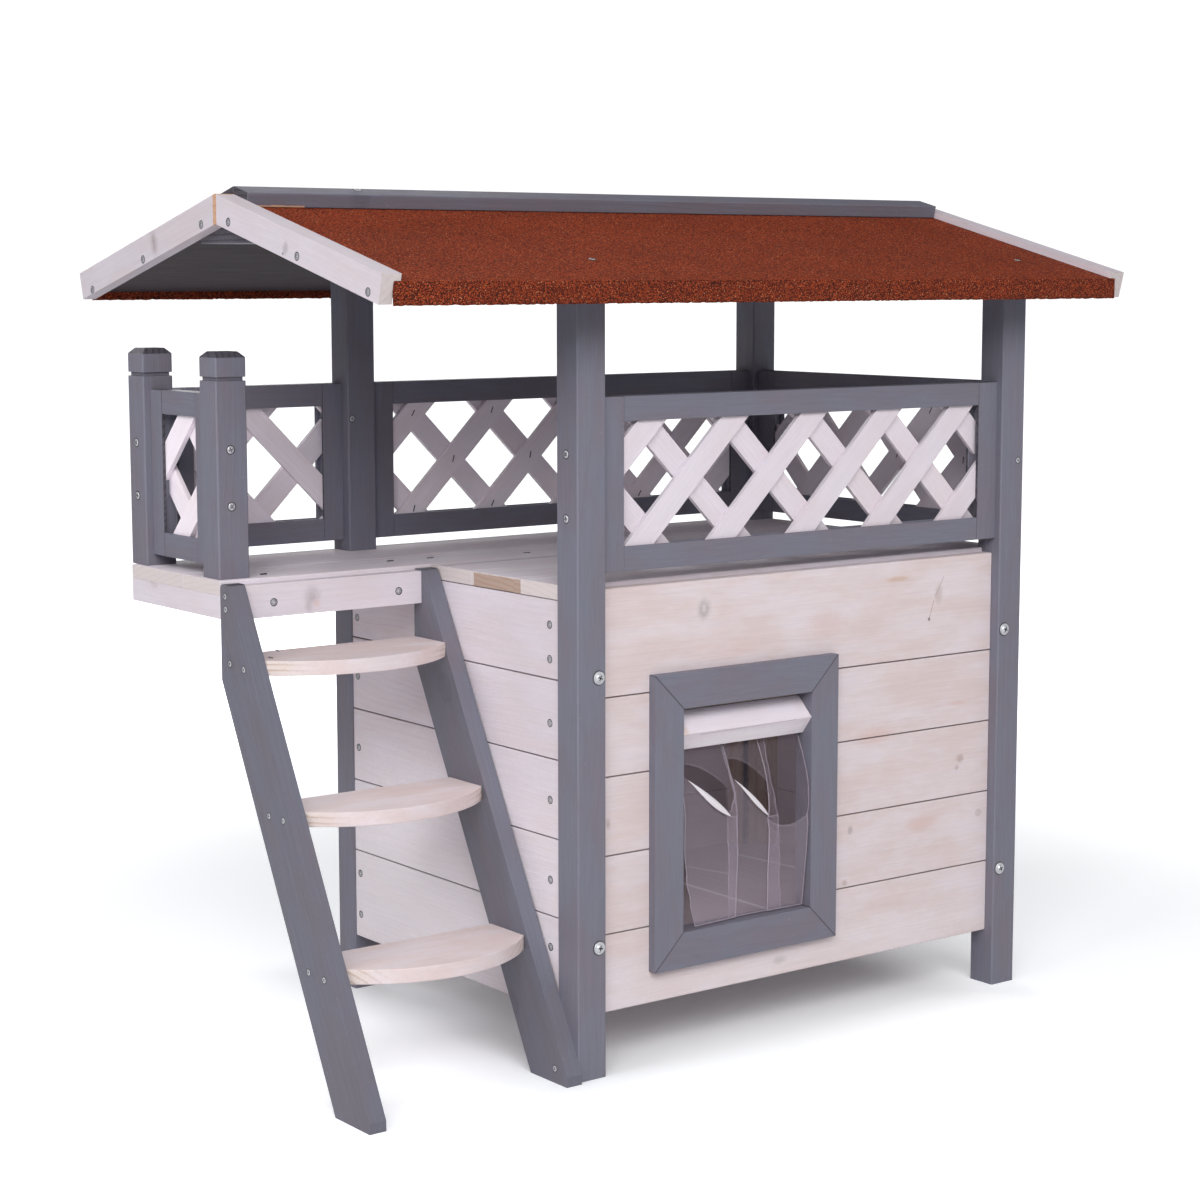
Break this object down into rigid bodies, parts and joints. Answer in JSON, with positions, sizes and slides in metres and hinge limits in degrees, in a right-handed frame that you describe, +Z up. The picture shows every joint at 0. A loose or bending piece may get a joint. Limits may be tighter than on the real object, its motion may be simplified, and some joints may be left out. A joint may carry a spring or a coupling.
{
  "type": "cat house",
  "caption": "Raised wooden cat house with a flap door, a railed deck under a felted gable roof, a side balcony and a ladder.",
  "frame": {"origin": "on the floor under the middle of the roof", "axes": "+X along the house away from the balcony, -Y out of the door, +Z up"},
  "size_m": [0.775, 0.486, 0.7163],
  "materials": {
    "gray_paint": "matt gray paint on wood",
    "white_wash": "white-washed pine, grain showing",
    "bare_pine": "bare planed pine",
    "roof_felt": "red-brown mineral granules",
    "clear_pvc": "clear, soft, glossy",
    "zinc": "bright zinc plating"
  },
  "bodies": {
    "house": {"post_front_left": "gray_paint", "post_front_right": "gray_paint", "post_back_left": "gray_paint", "post_back_right": "gray_paint", "front_wall": "white_wash", "back_wall": "white_wash", "left_wall": "white_wash", "right_wall": "white_wash", "side_battens": "bare_pine", "end_battens": "bare_pine", "floor_boards": "bare_pine", "floor_cleats": "bare_pine", "door_trim_top": "gray_paint", "door_trim_bottom": "gray_paint", "door_trim_left": "gray_paint", "door_trim_right": "gray_paint", "header_slat": "white_wash", "strip_rail": "bare_pine", "strip_tabs": "clear_pvc", "deck_board_1": "white_wash", "deck_board_2": "white_wash", "deck_board_3": "white_wash", "deck_board_4": "white_wash", "deck_board_5": "white_wash", "deck_joists": "bare_pine", "fascia_front": "white_wash", "fascia_left": "white_wash", "fascia_back": "white_wash", "newel_front": "gray_paint", "newel_back": "gray_paint", "front_rail_frame": "gray_paint", "front_rail_lattice": "white_wash", "back_rail_frame": "gray_paint", "back_rail_lattice": "white_wash", "right_rail_frame": "gray_paint", "right_rail_lattice": "white_wash", "balcony_back_frame": "gray_paint", "balcony_back_lattice": "white_wash", "balcony_end_frame": "gray_paint", "balcony_end_lattice": "white_wash", "stringer_left": "gray_paint", "stringer_right": "gray_paint", "tread_top": "white_wash", "tread_middle": "white_wash", "tread_bottom": "white_wash", "roof_board_front": "gray_paint", "roof_board_back": "gray_paint", "felt_front": "roof_felt", "felt_back": "roof_felt", "barge_front_left": "white_wash", "barge_back_left": "white_wash", "barge_front_right": "white_wash", "barge_back_right": "white_wash", "ridge_cap_front": "gray_paint", "ridge_cap_back": "gray_paint", "ridge_beam": "gray_paint", "post_bolts": "zinc"},
    "left_flap": {"flap_left": "clear_pvc"},
    "middle_flap": {"flap_middle": "clear_pvc"},
    "right_flap": {"flap_right": "clear_pvc"}
  },
  "joints": [
    {"name": "middle_flap_swing", "type": "hinge", "parent": "house", "child": "middle_flap", "pos_m": [0.006, -0.1644, 0.2565], "axis": [1, 0, 0], "range_deg": [-60, 60]},
    {"name": "left_flap_swing", "type": "hinge", "parent": "house", "child": "left_flap", "pos_m": [0.006, -0.1644, 0.2565], "axis": [1, 0, 0], "range_deg": [-60, 60]},
    {"name": "right_flap_swing", "type": "hinge", "parent": "house", "child": "right_flap", "pos_m": [0.006, -0.1644, 0.2565], "axis": [1, 0, 0], "range_deg": [-60, 60]}
  ],
  "couplings": [
    {"joint": "left_flap_swing", "follows": "middle_flap_swing", "ratio": 1},
    {"joint": "right_flap_swing", "follows": "middle_flap_swing", "ratio": 1}
  ]
}
